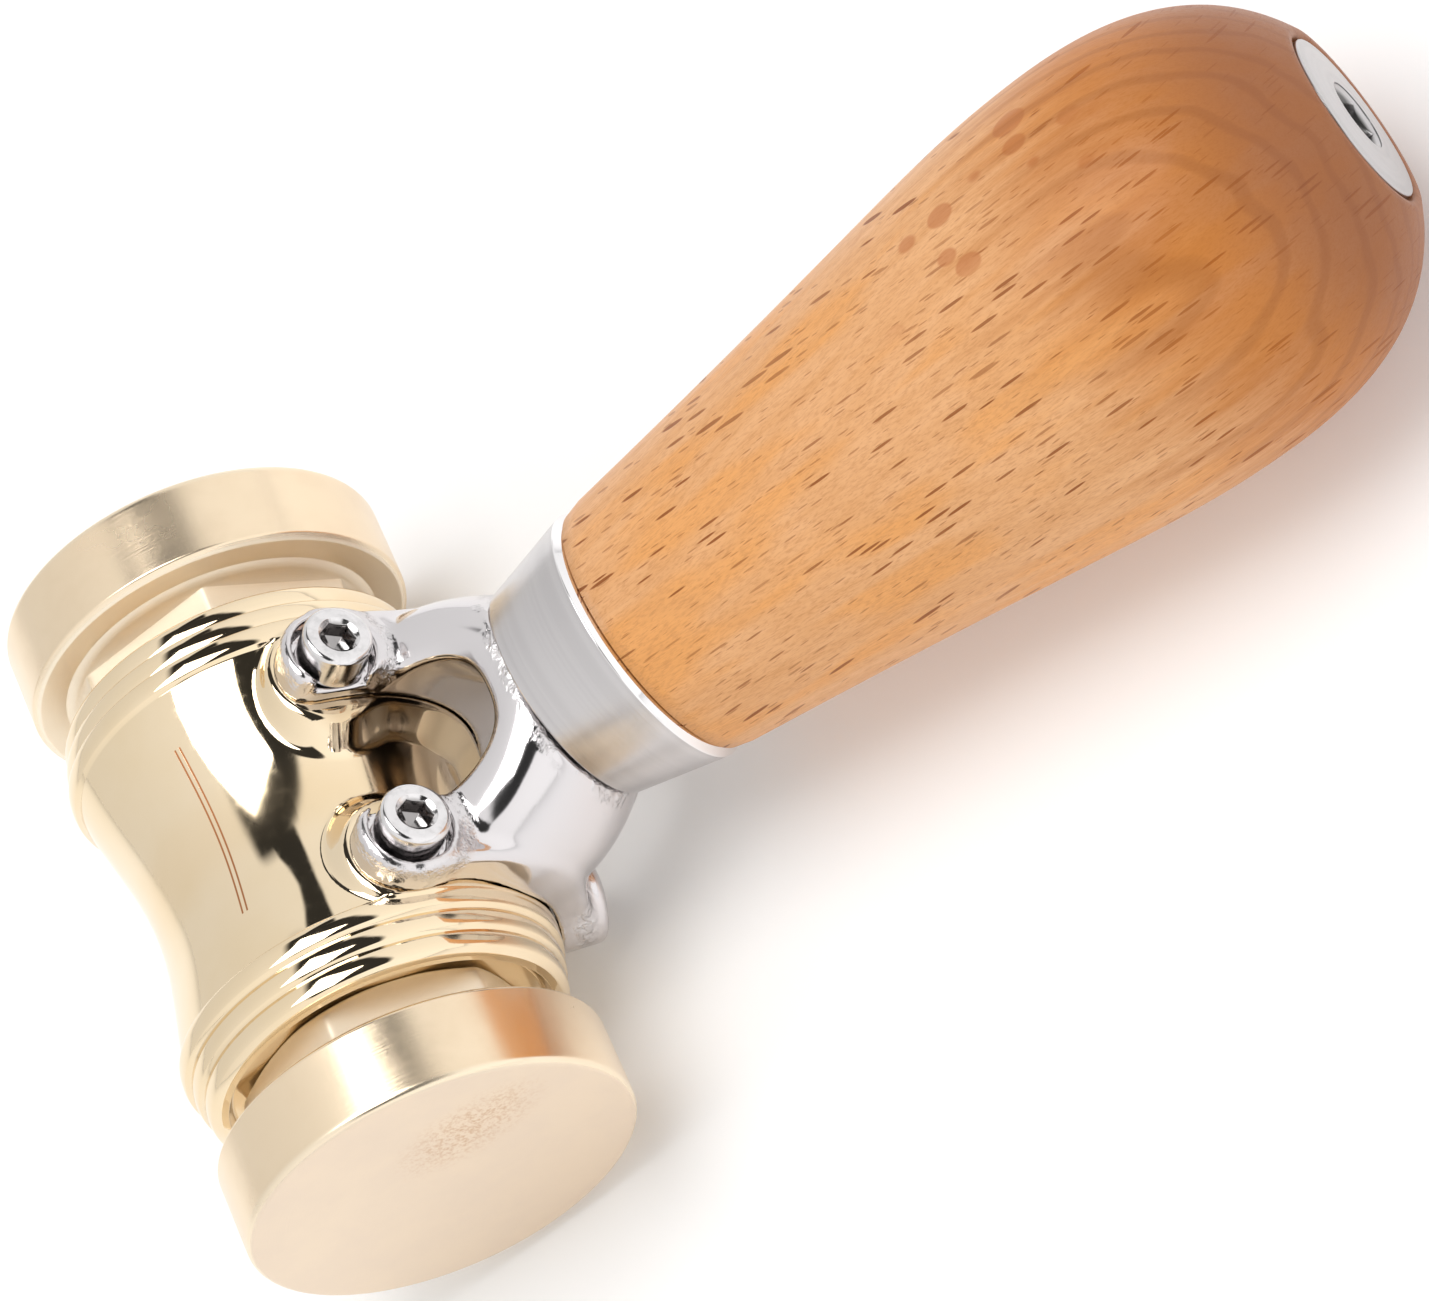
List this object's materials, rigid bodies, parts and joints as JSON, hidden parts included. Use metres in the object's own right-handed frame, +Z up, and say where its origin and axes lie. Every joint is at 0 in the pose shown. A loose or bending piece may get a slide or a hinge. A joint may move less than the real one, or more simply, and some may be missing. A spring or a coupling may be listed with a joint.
{
  "type": "carving mallet",
  "caption": "Double-faced carving mallet: waisted brass head with two screwed striking faces, cast steel yoke, steel ferrule and pear-shaped beech handle.",
  "frame": {"origin": "under the middle of the mallet as it lies, at the lowest side of the handle's bulb", "axes": "+X along the handle to its end, +Y towards the far striking face, +Z up as the mallet lies on its side"},
  "size_m": [0.1482, 0.0728, 0.043],
  "materials": {
    "polished_brass": "mirror polished",
    "satin_brass": "satin, turned",
    "polished_steel": "mirror polished casting",
    "satin_steel": "satin, turned",
    "dark_steel": "plain threaded rod",
    "beech": "lacquered"
  },
  "bodies": {
    "mallet": {"head_body": "polished_brass", "yoke": "polished_steel", "ferrule": "satin_steel", "handle": "beech", "tie_rod": "dark_steel", "end_nut": "satin_steel", "yoke_screw_near_upper": "satin_steel", "yoke_screw_near_lower": "satin_steel", "yoke_screw_far_upper": "satin_steel", "yoke_screw_far_lower": "satin_steel"},
    "near_stud": {"near_stud": "dark_steel"},
    "near_striker": {"near_face": "satin_brass"},
    "far_stud": {"far_stud": "dark_steel"},
    "far_striker": {"far_face": "satin_brass"}
  },
  "joints": [
    {"name": "near_face_travel", "type": "slide", "parent": "mallet", "child": "near_stud", "axis": [0, -1, 0], "range_m": [0, 0.0098]},
    {"name": "near_face_turn", "type": "hinge", "parent": "near_stud", "child": "near_striker", "pos_m": [-0.05407, 0, 0.0215], "axis": [0, -1, 0], "range_deg": [0, 2340]},
    {"name": "far_face_travel", "type": "slide", "parent": "mallet", "child": "far_stud", "axis": [0, 1, 0], "range_m": [0, 0.0098]},
    {"name": "far_face_turn", "type": "hinge", "parent": "far_stud", "child": "far_striker", "pos_m": [-0.05407, 0, 0.0215], "axis": [0, 1, 0], "range_deg": [0, 2340]}
  ],
  "couplings": [
    {"joint": "near_face_travel", "follows": "near_face_turn", "m_per_rad": 0.00023873},
    {"joint": "far_face_travel", "follows": "far_face_turn", "m_per_rad": 0.00023873}
  ]
}
